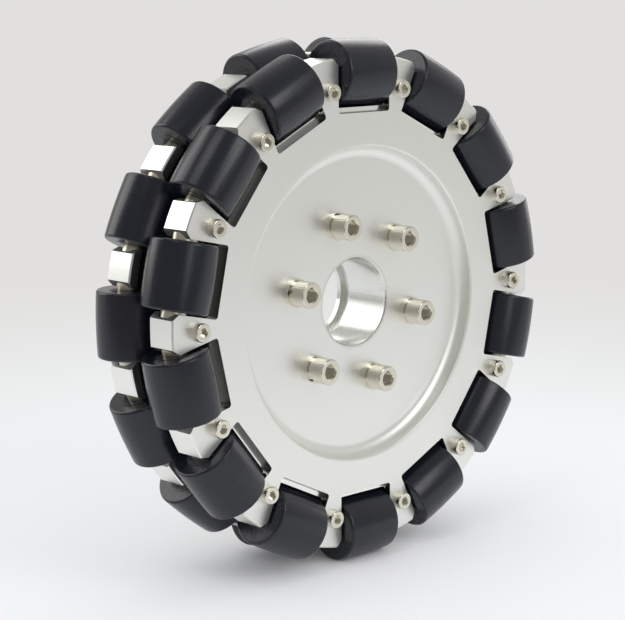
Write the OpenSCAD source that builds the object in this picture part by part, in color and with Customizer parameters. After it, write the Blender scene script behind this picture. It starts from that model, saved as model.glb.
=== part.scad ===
// Omni wheel with two rows of free rollers.
// The wheel's axle lies along Y, the front face looks towards -Y and +Z is up.
// The origin is the wheel's centre. Each piece is drawn with the axle along its own z,
// the front face towards +z, and to_wheel() turns it into place at the end.

/* [Wheel] */
// Diameter over the rollers
wheel_d = 203; // [197:0.5:230]
// How far the teeth stay below the rolling surface of the rollers
tooth_drop = 5.9; // [4:0.1:7]
// Thickness of each toothed disc
disc_t = 13; // [12:0.5:16]
// Chamfer on the turned outer edges of the discs
edge_chamfer = 0.5; // [0.2:0.1:1]
// Length of notch wall that the chamfers on the outer corners of the teeth take off
tooth_chamfer = 3; // [0.5:0.1:3.6]

/* [Rollers] */
// Largest diameter of a roller
roller_d = 25.6; // [24:0.1:26.4]
// Length of a roller's rubber
roller_l = 25.2; // [23:0.1:26]
// How much smaller in radius a roller is at its ends
roller_crown = 0.4; // [0.1:0.05:0.8]
// Radius of the rounded edge at each end of the rubber
roller_edge_r = 1; // [0.4:0.1:1.6]
// Diameter of the hard core inside the rubber
core_d = 15; // [10:0.5:18]
// How far the core stands out of the rubber at each end
core_nose = 0.1; // [0.1:0.05:0.4]
// Gap between the rollers of the two rows
row_gap = 0.4; // [0.3:0.1:2]

/* [Roller axles] */
// Diameter of the steel axle through a roller
axle_d = 4; // [3:0.1:4.6]
// Length of axle clamped in each tooth
axle_seat = 5; // [3.5:0.1:5.4]
// Outer diameter of the thrust bush at each end of a roller
bush_d = 9.6; // [7:0.1:10.2]
// Depth of the round pocket in the tooth that the bush seats in
pocket_depth = 1.8; // [1:0.1:2.4]

/* [Notches] */
// Gap between a roller's rubber and the tooth beside it
end_gap = 0.9; // [0.6:0.05:1.2]
// Gap between a roller and the notch floor below it
floor_gap = 0.3; // [0.3:0.1:1]
// Width of the ledge round the mouth of each notch
ledge_w = 2; // [0.8:0.1:2.4]
// Depth of that ledge behind the disc's face
ledge_depth = 3; // [2:0.1:4]
// Radius left by the cutter in the corners of a notch
notch_r = 1.2; // [0.6:0.1:1.8]
// Radial width of the clamp ring below the mouths of the notches
ring_web = 7.7; // [4:0.1:9]

/* [Hub] */
// Diameter of the bore for the wheel's axle
bore_d = 34; // [24:0.5:36]
// Chamfer at each mouth of the bore
bore_chamfer = 0.5; // [0.2:0.1:1]
// Diameter of the turned recess in each face
recess_d = 122.8; // [112:0.2:130]
// Depth of the recess
recess_depth = 5.5; // [4:0.1:6]
// Radius between the recess's wall and its floor
recess_fillet = 4.6; // [1:0.1:4.8]
// Chamfer on the recess's upper edge
recess_chamfer = 0.6; // [0.3:0.1:1]
// Diameter of the relief round the bore in the rear disc's inner face
relief_d = 38; // [37.5:0.5:46]
// Depth of that relief
relief_depth = 5; // [2:0.1:5.5]

/* [Hub screws] */
// Pitch circle of the hub screws
hub_pcd = 63.8; // [60:0.2:80]
// Nominal size of the hub screws
hub_screw_d = 6; // [5:0.5:6]
// Height of the flat washers
flat_washer_t = 1.2; // [1:0.1:1.6]
// Height of the spring washers
spring_washer_t = 1.6; // [1.2:0.1:1.8]
// Height of the nuts
hub_nut_t = 5; // [4:0.1:6]
// Length of thread that stands out of the nuts
thread_end = 3; // [1:0.1:4]
// Turn of the first hub screw from the top, clockwise from the front
hub_screw_turn = -17; // [-30:1:30]

/* [Rim screws] */
// Distance of the rim screws inside the roller axes
rim_screw_drop = 4.8; // [4.7:0.1:6]
// Nominal size of the rim screws
rim_screw_d = 4; // [3:0.5:4]
// Height of a rim screw's head
rim_head_h = 3.4; // [2:0.1:5]
// Length of a rim screw below its head
rim_screw_l = 12; // [9:0.5:12.5]

/* [Clearances] */
// Radial running clearance of a roller on its axle
running_fit = 0.05; // [0.02:0.01:0.09]
// Radial clearance of clamped, bonded and screwed fits
seat_fit = 0.02; // [0.01:0.01:0.05]
// Side clearance between a roller's core and its bushes
side_play = 0.1; // [0.05:0.05:0.2]
// Diameter added to the hole that a screw passes through
screw_play = 0.5; // [0.2:0.1:0.8]
// Radial clearance of a bush in its pocket
pocket_play = 0.3; // [0.1:0.1:0.5]

/* [Hidden] */
rollers_per_row = 14;
hub_screws_n = 6;
pitch = 360 / rollers_per_row;
barrel_bands = 10;
eps = 0.01;
$fn = 96;

// Radii from the wheel's axle
axis_r = (wheel_d - roller_d) / 2;
tread_r = wheel_d / 2 - tooth_drop;
floor_r = axis_r - roller_d / 2 - floor_gap;
mouth_r = floor_r - ledge_w;
seat_r = mouth_r - ring_web;
spacer_r = mouth_r - ledge_w;
rim_screw_r = axis_r - rim_screw_drop;

// Heights along the axle, from the wheel's centre to the front
spacer_t = roller_d + row_gap - disc_t;
inner_z = spacer_t / 2;
face_z = inner_z + disc_t;
axis_z = inner_z + disc_t / 2;
recess_z = face_z - recess_depth;

// Half lengths along a roller's axle
notch_hw = roller_l / 2 + end_gap;
core_hl = roller_l / 2 + core_nose;
bush_end = notch_hw + pocket_depth;
axle_end = notch_hw + axle_seat;

// Screw heads and washers in proportion to their nominal sizes
hub_head_d = hub_screw_d * 10 / 6;
hub_hex = hub_screw_d * 5 / 6;
hub_washer_d = hub_screw_d * 11 / 6;
hub_spring_d = hub_screw_d * 9.9 / 6;
hub_nut_af = hub_screw_d * 10 / 6;
hub_head_z = recess_z + flat_washer_t + spring_washer_t;
rim_head_d = rim_screw_d * 7 / 4;
rim_hex = rim_screw_d * 3 / 4;
head_round = 0.5;
washer_slit = 1.2;

function two_digits(k) = str(k < 10 ? "0" : "", k);
function roller_name(row, k) = str(row, "_roller_", two_digits(k));
ROLLERS = [for (row = ["front", "rear"], k = [1:rollers_per_row]) roller_name(row, k)];

// ---------- placing ----------

// Turns a piece from its drawing frame, with the axle along z, into the wheel's frame.
module to_wheel() {
    rotate([90, 0, 0]) children();
}

// Turns what is drawn at 12 o'clock clockwise by an angle, seen from the front.
module turned(angle) {
    rotate([0, 0, -angle]) children();
}

// The rear half is the front half mirrored and turned by half a pitch.
module rear_half() {
    turned(pitch / 2) mirror([0, 0, 1]) children();
}

// Repeats a piece at each front-row roller.
module at_rollers() {
    for (k = [0:rollers_per_row - 1]) turned(k * pitch) children();
}

// Repeats a piece at each front-row tooth.
module at_teeth() {
    turned(pitch / 2) at_rollers() children();
}

// Repeats a piece at each hub screw.
module at_hub_screws() {
    for (k = [0:hub_screws_n - 1])
        turned(hub_screw_turn + k * 360 / hub_screws_n) translate([0, hub_pcd / 2, 0]) children();
}

// Lays a piece drawn along z on the axle line of the roller at 12 o'clock.
module on_axle_line() {
    translate([0, axis_r, axis_z]) rotate([0, 90, 0]) children();
}

// ---------- shared shapes ----------

// Outline of a flat-floored pocket with rounded floor corners, opening along +y.
module pocket_outline(half_width, floor_y, top_y, r) {
    translate([-half_width, floor_y + r]) square([2 * half_width, top_y - floor_y - r]);
    translate([r - half_width, floor_y]) square([2 * (half_width - r), r + eps]);
    for (side = [-1, 1]) translate([side * (half_width - r), floor_y + r]) circle(r);
}

// A prism with a hexagonal section, given across its flats.
module hexagon(across_flats, h) {
    cylinder(d = across_flats / cos(30), h = h, $fn = 6);
}

// A flat ring.
module ring(outer_d, inner_d, h) {
    difference() {
        cylinder(d = outer_d, h = h);
        translate([0, 0, -1]) cylinder(d = inner_d, h = h + 2);
    }
}

// A socket-head screw that points down from the underside of its head at z = 0.
module socket_screw(d, length, head_d, head_h, hex) {
    difference() {
        rotate_extrude() {
            square([head_d / 2, head_h - head_round]);
            square([head_d / 2 - head_round, head_h]);
            translate([head_d / 2 - head_round, head_h - head_round]) circle(head_round);
        }
        translate([0, 0, head_h / 2]) hexagon(hex, head_h);
        translate([0, 0, head_h - 0.06 * head_d])
            cylinder(d1 = hex, d2 = hex * 1.4, h = 0.1 * head_d);
    }
    translate([0, 0, -length + d / 10]) cylinder(d = d, h = length - d / 10 + eps);
    translate([0, 0, -length]) cylinder(d1 = d * 0.8, d2 = d, h = d / 10);
}

// ---------- toothed discs ----------

// Section of a disc with its bore and recess, z as y. The step below the axle plane
// is the seat of the clamp ring.
module disc_section() {
    difference() {
        union() {
            translate([bore_d / 2, inner_z]) square([seat_r - bore_d / 2, disc_t]);
            translate([bore_d / 2, axis_z]) square([tread_r - bore_d / 2, disc_t / 2 - edge_chamfer]);
            translate([bore_d / 2, axis_z])
                square([tread_r - edge_chamfer - bore_d / 2, disc_t / 2]);
            translate([tread_r - edge_chamfer, face_z - edge_chamfer])
                polygon([[0, 0], [edge_chamfer, 0], [0, edge_chamfer]]);
        }
        pocket_outline(recess_d / 2 - recess_chamfer, recess_z, face_z + 1, recess_fillet);
        translate([recess_d / 2, face_z])
            polygon([[0, 0], [-2 * recess_chamfer, -2 * recess_chamfer], [-2 * recess_chamfer, 1], [0, 1]]);
        translate([bore_d / 2 + bore_chamfer, recess_z])
            polygon([[0, 0], [-2 * bore_chamfer, -2 * bore_chamfer], [-2 * bore_chamfer, 1], [0, 1]]);
    }
}

// The 14 notches: a wide mouth as deep as the ledge, and a shallower floor behind it.
// They flare where they cut the outer corners off the teeth.
module notches() {
    flare_y = sqrt(pow(tread_r, 2) - pow(notch_hw, 2)) - tooth_chamfer;
    flare = 2 * tooth_chamfer;
    at_rollers() {
        translate([0, 0, inner_z - 1]) linear_extrude(disc_t + 2) {
            pocket_outline(notch_hw, floor_r, wheel_d / 2, notch_r);
            polygon([[-notch_hw, flare_y], [notch_hw, flare_y],
                [notch_hw + flare, flare_y + flare], [-notch_hw - flare, flare_y + flare]]);
        }
        translate([0, 0, face_z - ledge_depth]) linear_extrude(ledge_depth + 1)
            pocket_outline(notch_hw, mouth_r, wheel_d / 2, notch_r);
    }
}

// The grooves that hold the axles, with the pockets that seat the bushes.
module axle_seats() {
    at_rollers() on_axle_line() {
        cylinder(r = axle_d / 2 + seat_fit, h = 2 * (axle_end + seat_fit), center = true);
        cylinder(r = bush_d / 2 + pocket_play, h = 2 * bush_end, center = true);
    }
}

module rim_screw_holes(hole_d) {
    at_teeth() translate([0, rim_screw_r, 0]) cylinder(d = hole_d, h = 2 * face_z);
}

module hub_screw_holes() {
    at_hub_screws()
        cylinder(d = hub_screw_d + screw_play, h = 4 * face_z, center = true);
}

// The outer, one-piece part of a disc, with its hub, rim and the front half of its teeth.
module toothed_disc() {
    difference() {
        rotate_extrude($fn = 200) disc_section();
        notches();
        axle_seats();
        rim_screw_holes(rim_screw_d + screw_play);
    }
}

// The ring behind the teeth that clamps the axles.
module clamp_ring() {
    difference() {
        translate([0, 0, inner_z]) rotate_extrude($fn = 200) {
            translate([seat_r + seat_fit, 0]) square([tread_r - edge_chamfer - seat_r - seat_fit, disc_t / 2]);
            translate([seat_r + seat_fit, edge_chamfer])
                square([tread_r - seat_r - seat_fit, disc_t / 2 - edge_chamfer]);
            translate([tread_r - edge_chamfer, edge_chamfer])
                polygon([[0, 0], [0, -edge_chamfer], [edge_chamfer, 0]]);
        }
        notches();
        axle_seats();
        rim_screw_holes(rim_screw_d + 2 * seat_fit);
    }
}

module front_disc() {
    color("silver") to_wheel() difference() {
        toothed_disc();
        hub_screw_holes();
    }
}

module front_clamp_ring() {
    color("silver") to_wheel() clamp_ring();
}

module rear_clamp_ring() {
    color("silver") to_wheel() rear_half() clamp_ring();
}

module rear_disc() {
    color("silver") to_wheel() difference() {
        rear_half() toothed_disc();
        hub_screw_holes();
        translate([0, 0, -inner_z - relief_depth]) cylinder(d = relief_d, h = relief_depth + 1);
    }
}

// Plain disc that keeps the two rows apart.
module hub_spacer() {
    color("silver") to_wheel() difference() {
        translate([0, 0, -inner_z]) ring(2 * spacer_r, bore_d, spacer_t);
        hub_screw_holes();
    }
}

// ---------- rollers and their axles ----------

// Radius of a roller at a distance along its axle from its middle.
function barrel_r(x) = roller_d / 2 - roller_crown * pow(2 * x / roller_l, 2);

// Rubber of a roller: a slightly barrelled sleeve with rounded ends.
module roller_rubber() {
    half = roller_l / 2;
    flank = half - roller_edge_r;
    end_r = barrel_r(flank) - roller_edge_r;
    flank_points = [for (i = [-barrel_bands:2:barrel_bands])
        let (x = flank * i / barrel_bands) [barrel_r(x), x]];
    rotate_extrude() difference() {
        union() {
            polygon(concat([[0, -flank]], flank_points, [[0, flank]]));
            translate([0, -half]) square([end_r, roller_l]);
            for (side = [-1, 1]) translate([end_r, side * flank]) circle(roller_edge_r);
        }
        translate([-1, -roller_l]) square([core_d / 2 + seat_fit + 1, 2 * roller_l]);
    }
}

// Hard core of a roller, which runs on the axle.
module roller_core() {
    translate([0, 0, -core_hl]) ring(core_d, axle_d + 2 * running_fit, 2 * core_hl);
}

module roller() {
    on_axle_line() {
        roller_rubber();
        roller_core();
    }
}

module front_roller(k) {
    color([0.1, 0.1, 0.11]) to_wheel() turned((k - 1) * pitch) roller();
}

module rear_roller(k) {
    color([0.1, 0.1, 0.11]) to_wheel() rear_half() turned((k - 1) * pitch) roller();
}

module axles() {
    at_rollers() on_axle_line() cylinder(d = axle_d, h = 2 * axle_end, center = true);
}

module bushes() {
    bush_l = bush_end - core_hl - side_play;
    at_rollers() on_axle_line() for (side = [0, 1]) mirror([0, 0, side])
        translate([0, 0, bush_end - bush_l]) ring(bush_d, axle_d + 2 * seat_fit, bush_l);
}

module front_roller_axles() {
    color("gainsboro") to_wheel() axles();
}

module rear_roller_axles() {
    color("gainsboro") to_wheel() rear_half() axles();
}

module front_roller_bushes() {
    color("khaki") to_wheel() bushes();
}

module rear_roller_bushes() {
    color("khaki") to_wheel() rear_half() bushes();
}

// ---------- fasteners ----------

module rim_screws() {
    at_teeth() translate([0, rim_screw_r, face_z])
        socket_screw(rim_screw_d, rim_screw_l, rim_head_d, rim_head_h, rim_hex);
}

module front_rim_screws() {
    color("lightgray") to_wheel() rim_screws();
}

module rear_rim_screws() {
    color("lightgray") to_wheel() rear_half() rim_screws();
}

module hub_screws() {
    grip = hub_head_z + recess_z + flat_washer_t + hub_nut_t;
    color("lightgray") to_wheel() at_hub_screws() translate([0, 0, hub_head_z])
        socket_screw(hub_screw_d, grip + thread_end, hub_head_d, hub_screw_d, hub_hex);
}

// Split rings with a slanted slit.
module hub_spring_washers() {
    color("gray") to_wheel() at_hub_screws() translate([0, 0, recess_z + flat_washer_t]) difference() {
        ring(hub_spring_d, hub_screw_d + screw_play, spring_washer_t);
        translate([0, hub_spring_d / 2, spring_washer_t / 2]) rotate([0, 25, 0])
            cube([washer_slit, hub_spring_d, 4 * spring_washer_t], center = true);
    }
}

module flat_washers() {
    at_hub_screws() translate([0, 0, recess_z])
        ring(hub_washer_d, hub_screw_d + screw_play, flat_washer_t);
}

module front_flat_washers() {
    color("lightgray") to_wheel() flat_washers();
}

module rear_flat_washers() {
    color("lightgray") to_wheel() mirror([0, 0, 1]) flat_washers();
}

// Hexagon nuts with chamfered corners and a plain bore for the thread.
module hub_nuts() {
    face_d = hub_nut_af * 0.95;
    skirt_d = face_d + 4 * hub_nut_t;
    color("lightgray") to_wheel() at_hub_screws()
        translate([0, 0, -recess_z - flat_washer_t - hub_nut_t]) difference() {
            intersection() {
                hexagon(hub_nut_af, hub_nut_t);
                cylinder(d1 = face_d, d2 = skirt_d, h = hub_nut_t);
                cylinder(d1 = skirt_d, d2 = face_d, h = hub_nut_t);
            }
            translate([0, 0, -1]) cylinder(d = hub_screw_d + 2 * seat_fit, h = hub_nut_t + 2);
        }
}

// ---------- nodes ----------

front_disc();
front_clamp_ring();
hub_spacer();
rear_clamp_ring();
rear_disc();
front_roller_axles();
rear_roller_axles();
front_roller_bushes();
rear_roller_bushes();
front_rim_screws();
rear_rim_screws();
hub_screws();
hub_spring_washers();
front_flat_washers();
rear_flat_washers();
hub_nuts();
for (k = [1:rollers_per_row])
    front_roller(k);
for (k = [1:rollers_per_row])
    rear_roller(k);
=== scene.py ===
"""Dresses the omni wheel: metal, rubber and plated finishes, a pale floor and studio light."""

import math

import bpy
from mathutils import Matrix, Vector


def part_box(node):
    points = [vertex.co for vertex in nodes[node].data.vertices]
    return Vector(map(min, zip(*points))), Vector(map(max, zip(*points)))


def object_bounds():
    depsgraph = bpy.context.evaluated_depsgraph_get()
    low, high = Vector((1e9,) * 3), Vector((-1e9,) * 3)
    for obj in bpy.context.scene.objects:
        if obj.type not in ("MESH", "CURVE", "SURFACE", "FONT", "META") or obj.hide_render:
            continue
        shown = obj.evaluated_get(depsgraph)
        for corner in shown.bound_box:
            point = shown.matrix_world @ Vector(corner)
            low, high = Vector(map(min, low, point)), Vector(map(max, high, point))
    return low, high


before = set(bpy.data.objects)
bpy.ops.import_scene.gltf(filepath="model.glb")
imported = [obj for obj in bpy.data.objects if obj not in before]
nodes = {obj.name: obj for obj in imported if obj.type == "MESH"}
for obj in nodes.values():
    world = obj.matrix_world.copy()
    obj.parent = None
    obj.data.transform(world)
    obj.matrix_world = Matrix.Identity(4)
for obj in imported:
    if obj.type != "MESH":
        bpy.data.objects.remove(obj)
cad_low, cad_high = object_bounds()

# ---------------------------------------------------------------- the camera
# It stands 0.72 m from the wheel, to the left of its front face and a little
# above, and looks past the hub, so that the rim of the far side still shows.

CAMERA_AZIMUTH = math.radians(-43.244)
CAMERA_ELEVATION = math.radians(9.77)
CAMERA_ROLL = math.radians(-0.527)
CAMERA_DISTANCE = 0.7185
CAMERA_AIM_BEFORE_FACE = 0.0022
CAMERA_SHIFT_RIGHT = 0.02182
CAMERA_SHIFT_UP = 0.00217
CAMERA_LENS = 107.5

camera_back = Vector(
    (
        math.sin(CAMERA_AZIMUTH) * math.cos(CAMERA_ELEVATION),
        -math.cos(CAMERA_AZIMUTH) * math.cos(CAMERA_ELEVATION),
        math.sin(CAMERA_ELEVATION),
    )
)
level_right = Vector((math.cos(CAMERA_AZIMUTH), math.sin(CAMERA_AZIMUTH), 0))
level_up = camera_back.cross(level_right)
camera_right = level_right * math.cos(CAMERA_ROLL) + level_up * math.sin(CAMERA_ROLL)
camera_up = level_up * math.cos(CAMERA_ROLL) - level_right * math.sin(CAMERA_ROLL)
front_face_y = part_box("front_disc")[0].y
camera_aim = Vector((0, front_face_y - CAMERA_AIM_BEFORE_FACE, 0))
camera_place = (
    camera_aim
    + camera_back * CAMERA_DISTANCE
    - camera_right * CAMERA_SHIFT_RIGHT
    - camera_up * CAMERA_SHIFT_UP
)
camera = bpy.data.objects.new("camera", bpy.data.cameras.new("camera"))
bpy.context.scene.collection.objects.link(camera)
camera.data.lens = CAMERA_LENS
camera.data.sensor_width = 36
camera.matrix_world = Matrix.Translation(camera_place) @ Matrix(
    (camera_right, camera_up, camera_back)
).transposed().to_4x4()
bpy.context.scene.camera = camera
bpy.context.scene.view_settings.view_transform = "Standard"


# ------------------------------------------------- the floor, world and lamps
# A seamless sheet of pale paper in a room that is darker on the camera's side,
# with soft boxes in front, on both sides and behind.

FLOOR_RADIUS = 4.0
FLOOR_POINTS = 96
PAPER = (0.87, 0.875, 0.885, 1)
PAPER_FADE = (-0.05, 0.5)
BACKDROP = (0.755, 0.745, 0.735, 1)
FOREGROUND = (0.87, 0.89, 0.90, 1)
FOREGROUND_FADE = (0.05, 0.8)
CAMERA_SIDE = (-0.68, -0.73, 0.0)
CAMERA_SIDE_FADE = (0.12, 0.45)
SHADE = (0.27, 0.25, 0.23, 1)
ROOM_DARK = (0.28, 0.275, 0.27, 1)
ROOM_PALE_TOWARDS = (0.9, 0.43, 0.1)
ROOM_FADE = (-0.3, 1.1)
ROOM_GLOW = (0.98, 0.98, 0.99, 1)


class Value:
    """A shader socket that Python's operators combine through Math nodes."""

    def __init__(self, shading, socket):
        self.shading = shading
        self.socket = socket

    def maths(self, operation, *others):
        sockets = {0: self, **dict(enumerate(others, 1))}
        return self.shading.node("ShaderNodeMath", {"operation": operation}, sockets)

    def __add__(self, other):
        return self.maths("ADD", other)

    def __sub__(self, other):
        return self.maths("SUBTRACT", other)

    def __mul__(self, other):
        return self.maths("MULTIPLY", other)

    def __truediv__(self, other):
        return self.maths("DIVIDE", other)

    def __pow__(self, other):
        return self.maths("POWER", other)

    def __rsub__(self, other):
        return (self * -1) + other

    __radd__ = __add__
    __rmul__ = __mul__


class Shading:
    """A node tree that is written as expressions."""

    def __init__(self, tree):
        self.tree = tree

    def node(self, kind, settings=None, sockets=None, output=0):
        made = self.tree.nodes.new(kind)
        for name, setting in (settings or {}).items():
            setattr(made, name, setting)
        for name, value in (sockets or {}).items():
            self.feed(made.inputs[name], value)
        return Value(self, made.outputs[output])

    def feed(self, socket, value):
        if isinstance(value, Value):
            self.tree.links.new(value.socket, socket)
        else:
            socket.default_value = value

    def place(self):
        return self.node("ShaderNodeTexCoord", output="Object")

    def split(self, vector):
        apart = self.node("ShaderNodeSeparateXYZ", {}, {0: vector}).socket.node
        return [Value(self, output) for output in apart.outputs]

    def join(self, x, y, z):
        return self.node("ShaderNodeCombineXYZ", {}, {0: x, 1: y, 2: z})

    def dot(self, vector, other):
        settings = {"operation": "DOT_PRODUCT"}
        return self.node("ShaderNodeVectorMath", settings, {0: vector, 1: other}, "Value")

    def ramp(self, value, low, high):
        """0 below low, 1 above high and smooth between them."""
        settings = {"interpolation_type": "SMOOTHSTEP"}
        sockets = {"Value": value, "From Min": low, "From Max": high}
        return self.node("ShaderNodeMapRange", settings, sockets, "Result")

    def noise(self, vector, scale, detail=2.0, roughness=0.5):
        sockets = {"Vector": vector, "Scale": scale, "Detail": detail, "Roughness": roughness}
        return self.node("ShaderNodeTexNoise", {}, sockets, "Fac")

    def bump(self, height, distance, strength=1.0):
        sockets = {"Height": height, "Distance": distance, "Strength": strength}
        return self.node("ShaderNodeBump", {}, sockets, "Normal")

    def blend(self, factor, low, high):
        sockets = {0: factor, 6: low, 7: high}
        return self.node("ShaderNodeMix", {"data_type": "RGBA"}, sockets, 2)

    def rays(self, kind):
        return self.node("ShaderNodeLightPath", output=kind)


class Finish(Shading):
    """A material with one main shader."""

    def __init__(self, name):
        self.material = bpy.data.materials.new(name)
        self.material.use_nodes = True
        super().__init__(self.material.node_tree)
        self.shader = self.tree.nodes["Principled BSDF"]

    def set(self, **sockets):
        for name, value in sockets.items():
            self.feed(self.shader.inputs[name.replace("_", " ")], value)


# Away from the wheel the paper glows in the backdrop's colour, so the sheet has
# no far edge. What reflects it sees the shade that the camera's side lies in.
paper = Finish("paper_floor")
paper.set(Base_Color=PAPER, Roughness=0.9)
from_wheel = paper.dot(paper.place(), paper.place()) ** 0.5
glowing = paper.ramp(from_wheel, *PAPER_FADE)
glow = paper.blend(paper.ramp(from_wheel, *FOREGROUND_FADE), FOREGROUND, BACKDROP)
camera_side = paper.ramp(paper.dot(paper.place(), CAMERA_SIDE), *CAMERA_SIDE_FADE)
shaded = paper.rays("Is Glossy Ray") * camera_side
far_paper = paper.node("ShaderNodeEmission", {}, {"Color": paper.blend(shaded, glow, SHADE)})
paper_sheet = paper.node(
    "ShaderNodeMixShader",
    {},
    {0: glowing + shaded * (1 - glowing), 1: Value(paper, paper.shader.outputs[0]), 2: far_paper},
)
paper.feed(paper.tree.nodes["Material Output"].inputs["Surface"], paper_sheet)
bpy.ops.object.select_all(action="DESELECT")
bpy.ops.mesh.primitive_circle_add(
    vertices=FLOOR_POINTS, radius=FLOOR_RADIUS, fill_type="NGON", location=(0, 0, cad_low.z)
)
floor = bpy.context.object
floor.name = "floor"
floor.data.materials.append(paper.material)

# Metal shows the same pale backdrop, which gets darker towards the camera's side.
room = bpy.data.worlds.new("studio_room")
room.use_nodes = True
sky = Shading(room.node_tree)
direction = sky.node("ShaderNodeTexCoord", output="Generated")
pale = sky.ramp(sky.dot(direction, ROOM_PALE_TOWARDS), *ROOM_FADE)
walls = sky.blend(sky.rays("Is Diffuse Ray"), sky.blend(pale, ROOM_DARK, BACKDROP), ROOM_GLOW)
seen = sky.blend(sky.rays("Is Camera Ray"), walls, BACKDROP)
sky.feed(sky.tree.nodes["Background"].inputs["Color"], seen)
bpy.context.scene.world = room


def soft_box(name, azimuth, elevation, distance, width, height, power, lights_floor=False):
    """An area lamp that looks at the wheel's centre, placed as a camera would be."""
    turn, rise = math.radians(azimuth), math.radians(elevation)
    place = distance * Vector(
        (math.sin(turn) * math.cos(rise), -math.cos(turn) * math.cos(rise), math.sin(rise))
    )
    lamp = bpy.data.objects.new(name, bpy.data.lights.new(name, "AREA"))
    bpy.context.scene.collection.objects.link(lamp)
    lamp.location = place
    lamp.rotation_mode = "QUATERNION"
    lamp.rotation_quaternion = (-place).to_track_quat("-Z", "Y")
    lamp.data.shape = "RECTANGLE"
    lamp.data.size = width
    lamp.data.size_y = height
    lamp.data.energy = power
    lamp.visible_diffuse = lights_floor


soft_box("front_box", 9, 31, 1.4, 0.6, 0.75, 4.5, lights_floor=True)
soft_box("low_front_box", -17, 12, 1.5, 0.4, 0.6, 1.1, lights_floor=True)
soft_box("left_box", -80, 57, 1.5, 0.6, 0.4, 1.5, lights_floor=True)
soft_box("right_box", 97, 6, 1.6, 0.9, 0.4, 1.6)
soft_box("back_left_box", -152, 28, 1.4, 0.8, 1.2, 6.5)
soft_box("back_right_box", 126, 33, 1.6, 0.9, 0.8, 5.4)


# ------------------------------------------------ the toothed discs and rings
# Aluminium plate, turned on both faces to a fine satin, with notches milled
# round the rim. The notch floors beside the rollers are painted near black as shade.

ALUMINIUM = (0.90, 0.905, 0.87, 1)
# Painted shade: a darker base colour inside the hub bore.
BORE_PAINTED_SHADE = (0.79, 0.795, 0.76, 1)
# Painted shade: near-black base colour for the notch floors beside the rollers.
NOTCH_PAINTED_SHADE = (0.01, 0.01, 0.012, 1)
FACE_SIDEWAYS = (0.93, 0.99)
BORE_END = 0.019
RECESS_WALL = (0.055, 0.0615)
NOTCH_START = 0.070
NOTCH_SHADE_RADII = (0.0762, 0.078)
TREAD_EDGE = 0.003
EDGE_FADE = 0.001
LATHE_STRETCH = 0.0008
LATHE_SCALE = 3500
GRAIN_SCALE = 1400
CLOUD_SCALE = 22
SATIN_ROUGHNESS = 0.32
WALL_ROUGHER = 0.11
MILLED_SMOOTHER = 0.19
BORE_LESS_SMOOTH = 0.08
NOTCH_SHADE_ROUGHER = 0.2
SATIN_RELIEF = 0.00001
face_depth = -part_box("front_disc")[0].y
tread_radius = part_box("front_disc")[1].z

aluminium = Finish("satin_aluminium")
across, along, up = aluminium.split(aluminium.place())
radius = (across**2 + up**2) ** 0.5
angle = across.maths("ARCTAN2", up)
facing = aluminium.split(aluminium.node("ShaderNodeTexCoord", output="Normal"))[1]
turned_face = aluminium.ramp(facing.maths("ABSOLUTE"), *FACE_SIDEWAYS)


def beyond(limit):
    """1 farther from the wheel's axle than a limit, 0 nearer."""
    return aluminium.ramp(radius, limit, limit + EDGE_FADE)


depth = along.maths("ABSOLUTE")
at_face = aluminium.ramp(depth, face_depth - 2 * EDGE_FADE, face_depth - EDGE_FADE)
in_notches = beyond(NOTCH_START) * (1 - beyond(tread_radius - TREAD_EDGE))
in_bore = 1 - beyond(BORE_END - EDGE_FADE)
milled = (in_notches + in_bore) * (1 - turned_face * at_face)
recess_wall = aluminium.ramp(radius, *RECESS_WALL) * (1 - beyond(RECESS_WALL[1]))
# Painted shade: where the notch floors beside the rollers are darkened in the base colour.
notch_shade_mask = in_notches * (1 - aluminium.ramp(radius, *NOTCH_SHADE_RADII)) * (1 - turned_face)

lathe = aluminium.noise(aluminium.join(radius, angle * LATHE_STRETCH, along), LATHE_SCALE)
grain = aluminium.noise(aluminium.place(), GRAIN_SCALE, 3)
cloud = aluminium.noise(aluminium.place(), CLOUD_SCALE)
notch_shade = notch_shade_mask * (0.85 + 0.15 * cloud)
satin = SATIN_ROUGHNESS + 0.08 * cloud + 0.03 * grain + WALL_ROUGHER * recess_wall
smoothing = milled * (MILLED_SMOOTHER - BORE_LESS_SMOOTH * in_bore)
# Painted shade in the base colour: darker in the bore, near black on the notch floors beside the
# rollers.
aluminium.set(
    Base_Color=aluminium.blend(notch_shade, aluminium.blend(in_bore, ALUMINIUM, BORE_PAINTED_SHADE), NOTCH_PAINTED_SHADE),
    Metallic=1.0,
    Roughness=satin - smoothing + NOTCH_SHADE_ROUGHER * notch_shade,
    Normal=aluminium.bump(grain * 0.6 + lathe * 0.4, SATIN_RELIEF, 0.5),
)
for name in ("front_disc", "rear_disc", "front_clamp_ring", "rear_clamp_ring", "hub_spacer"):
    nodes[name].material_slots[0].material = aluminium.material


# ------------------------------------------------------------------ the rollers
# Black rubber, smooth from the mould with faint lines along the axle where it
# was ground. Each roller has its own frame: outwards, sideways, on its axle.

RUBBER = (0.006, 0.0075, 0.0135, 1)
ROLLERS_PER_ROW = 14
ROLLER_PITCH = 2 * math.pi / ROLLERS_PER_ROW
STREAK_STRETCH = 0.05
STREAK_SHIFT = 0.37
STREAK_SCALE = 330
SCUFF_SCALE = 90
PORE_SCALE = 2200
RUBBER_RELIEF = 0.00035
roller_low, roller_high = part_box("front_roller_01")
axle_radius = (roller_low.z + roller_high.z) / 2
axle_depth = (roller_low.y + roller_high.y) / 2

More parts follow.
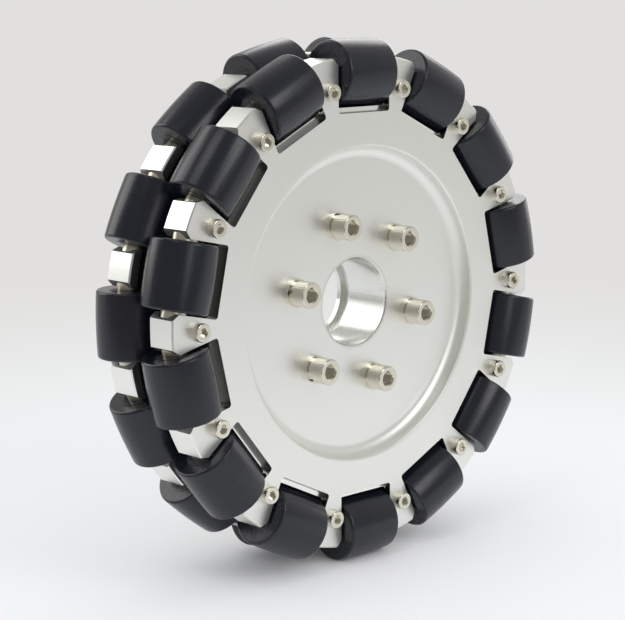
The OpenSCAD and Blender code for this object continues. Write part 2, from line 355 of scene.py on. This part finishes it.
rubber = Finish("black_rubber")
across, along, up = rubber.split(rubber.place())
radius = (across**2 + up**2) ** 0.5
in_rear_row = along.maths("GREATER_THAN", 0.0)
turns = across.maths("ARCTAN2", up) / ROLLER_PITCH - in_rear_row * 0.5
roller_number = turns.maths("ROUND")
swing = (turns - roller_number) * ROLLER_PITCH
on_axle = radius * swing.maths("SINE")
outwards = radius * swing.maths("COSINE") - axle_radius
sideways = along - axle_depth + in_rear_row * (2 * axle_depth)
own_place = rubber.join(
    outwards, sideways, on_axle * STREAK_STRETCH + roller_number * STREAK_SHIFT
)
streaks = rubber.noise(own_place, STREAK_SCALE, 3, 0.6)
scuffs = rubber.noise(rubber.place(), SCUFF_SCALE, 4)
pores = rubber.noise(rubber.place(), PORE_SCALE)
rubber.set(
    Base_Color=RUBBER,
    Roughness=0.16 + 0.16 * streaks + 0.06 * scuffs,
    Normal=rubber.bump(streaks * 0.8 + scuffs * 0.1 + pores * 0.1, RUBBER_RELIEF, 0.35),
)
for name in nodes:
    if "_roller_0" in name or "_roller_1" in name:
        nodes[name].material_slots[0].material = rubber.material


# --------------------------------------------- the roller axles and the bushes
# Ground steel pins, and turned bushes with a thin nickel plating that has
# gone faintly yellow.

STEEL = (0.55, 0.54, 0.52, 1)
STEEL_GRAIN = 400
BUSH_PLATING = (0.72, 0.68, 0.55, 1)
BUSH_GRAIN = 300


def plain_metal(name, colour, smoothest, grain):
    """Metal whose gloss varies a little from place to place."""
    metal = Finish(name)
    roughness = smoothest + 0.1 * metal.noise(metal.place(), grain)
    metal.set(Base_Color=colour, Metallic=1.0, Roughness=roughness)
    return metal.material


steel = plain_metal("ground_steel", STEEL, 0.25, STEEL_GRAIN)
for name in ("front_roller_axles", "rear_roller_axles"):
    nodes[name].material_slots[0].material = steel
plated_bush = plain_metal("plated_bush", BUSH_PLATING, 0.25, BUSH_GRAIN)
for name in ("front_roller_bushes", "rear_roller_bushes"):
    nodes[name].material_slots[0].material = plated_bush


# -------------------------------------------------------- screws, washers, nuts
# Socket-head screws of nickel-plated steel, with plated nuts and washers. The
# heads are knurled round their sides and the screws' own ends are threaded.

NICKEL = (0.72, 0.695, 0.60, 1)
NICKEL_GRAIN = 500
SIDE_FACING = (0.3, 0.6)
HEAD_EDGE = (0.93, 0.96)
SHANK_EDGE = (0.96, 0.98)
KNURL_HEIGHT = 0.35
KNURL_RIDGES = 36
RIDGE_HEIGHT = 0.00012
HUB_SCREWS = {"count": 6, "first": math.radians(-17), "circle": 0.0319}
HUB_SIZES = {"head": 0.005, "shank": 0.003, "pitch": 0.001}
RIM_SCREWS = {"count": ROLLERS_PER_ROW, "circle": 0.0839}
RIM_SIZES = {"head": 0.0035, "shank": 0.002, "pitch": 0.0007}


def screw_finish(name, count, first, circle, head, shank, pitch):
    """Plating with ridges that run round the nearest screw's own axis."""
    plating = Finish(name)
    across, along, up = plating.split(plating.place())
    turns = (across.maths("ARCTAN2", up) - first) / (2 * math.pi / count)
    swing = (turns - turns.maths("ROUND")) * (2 * math.pi / count)
    radius = (across**2 + up**2) ** 0.5
    sideways = radius * swing.maths("SINE")
    outwards = radius * swing.maths("COSINE") - circle
    angle = sideways.maths("ARCTAN2", outwards)
    distance = (sideways**2 + outwards**2) ** 0.5
    facing = plating.split(plating.node("ShaderNodeTexCoord", output="Normal"))[1]
    on_side = 1 - plating.ramp(facing.maths("ABSOLUTE"), *SIDE_FACING)
    on_head = plating.ramp(distance / head, *HEAD_EDGE)
    on_shank = plating.ramp(distance / shank, *SHANK_EDGE) * (1 - on_head)
    knurl = (angle * KNURL_RIDGES).maths("SINE") * on_head * KNURL_HEIGHT
    thread = (along * (2 * math.pi / pitch) + angle).maths("SINE") * on_shank
    plating.set(
        Base_Color=NICKEL,
        Metallic=1.0,
        Roughness=0.08 + 0.1 * plating.noise(plating.place(), NICKEL_GRAIN),
        Normal=plating.bump((knurl + thread) * on_side, RIDGE_HEIGHT, 0.8),
    )
    return plating.material


front_finish = screw_finish(
    "front_screw_plating", first=ROLLER_PITCH / 2, **RIM_SCREWS, **RIM_SIZES
)
rear_finish = screw_finish("rear_screw_plating", first=0.0, **RIM_SCREWS, **RIM_SIZES)
hub_finish = screw_finish("hub_screw_plating", **HUB_SCREWS, **HUB_SIZES)
nodes["front_rim_screws"].material_slots[0].material = front_finish
nodes["rear_rim_screws"].material_slots[0].material = rear_finish
nodes["hub_screws"].material_slots[0].material = hub_finish

nickel = plain_metal("nickel_plating", NICKEL, 0.12, NICKEL_GRAIN)
for name in ("hub_nuts", "hub_spring_washers", "front_flat_washers", "rear_flat_washers"):
    nodes[name].material_slots[0].material = nickel
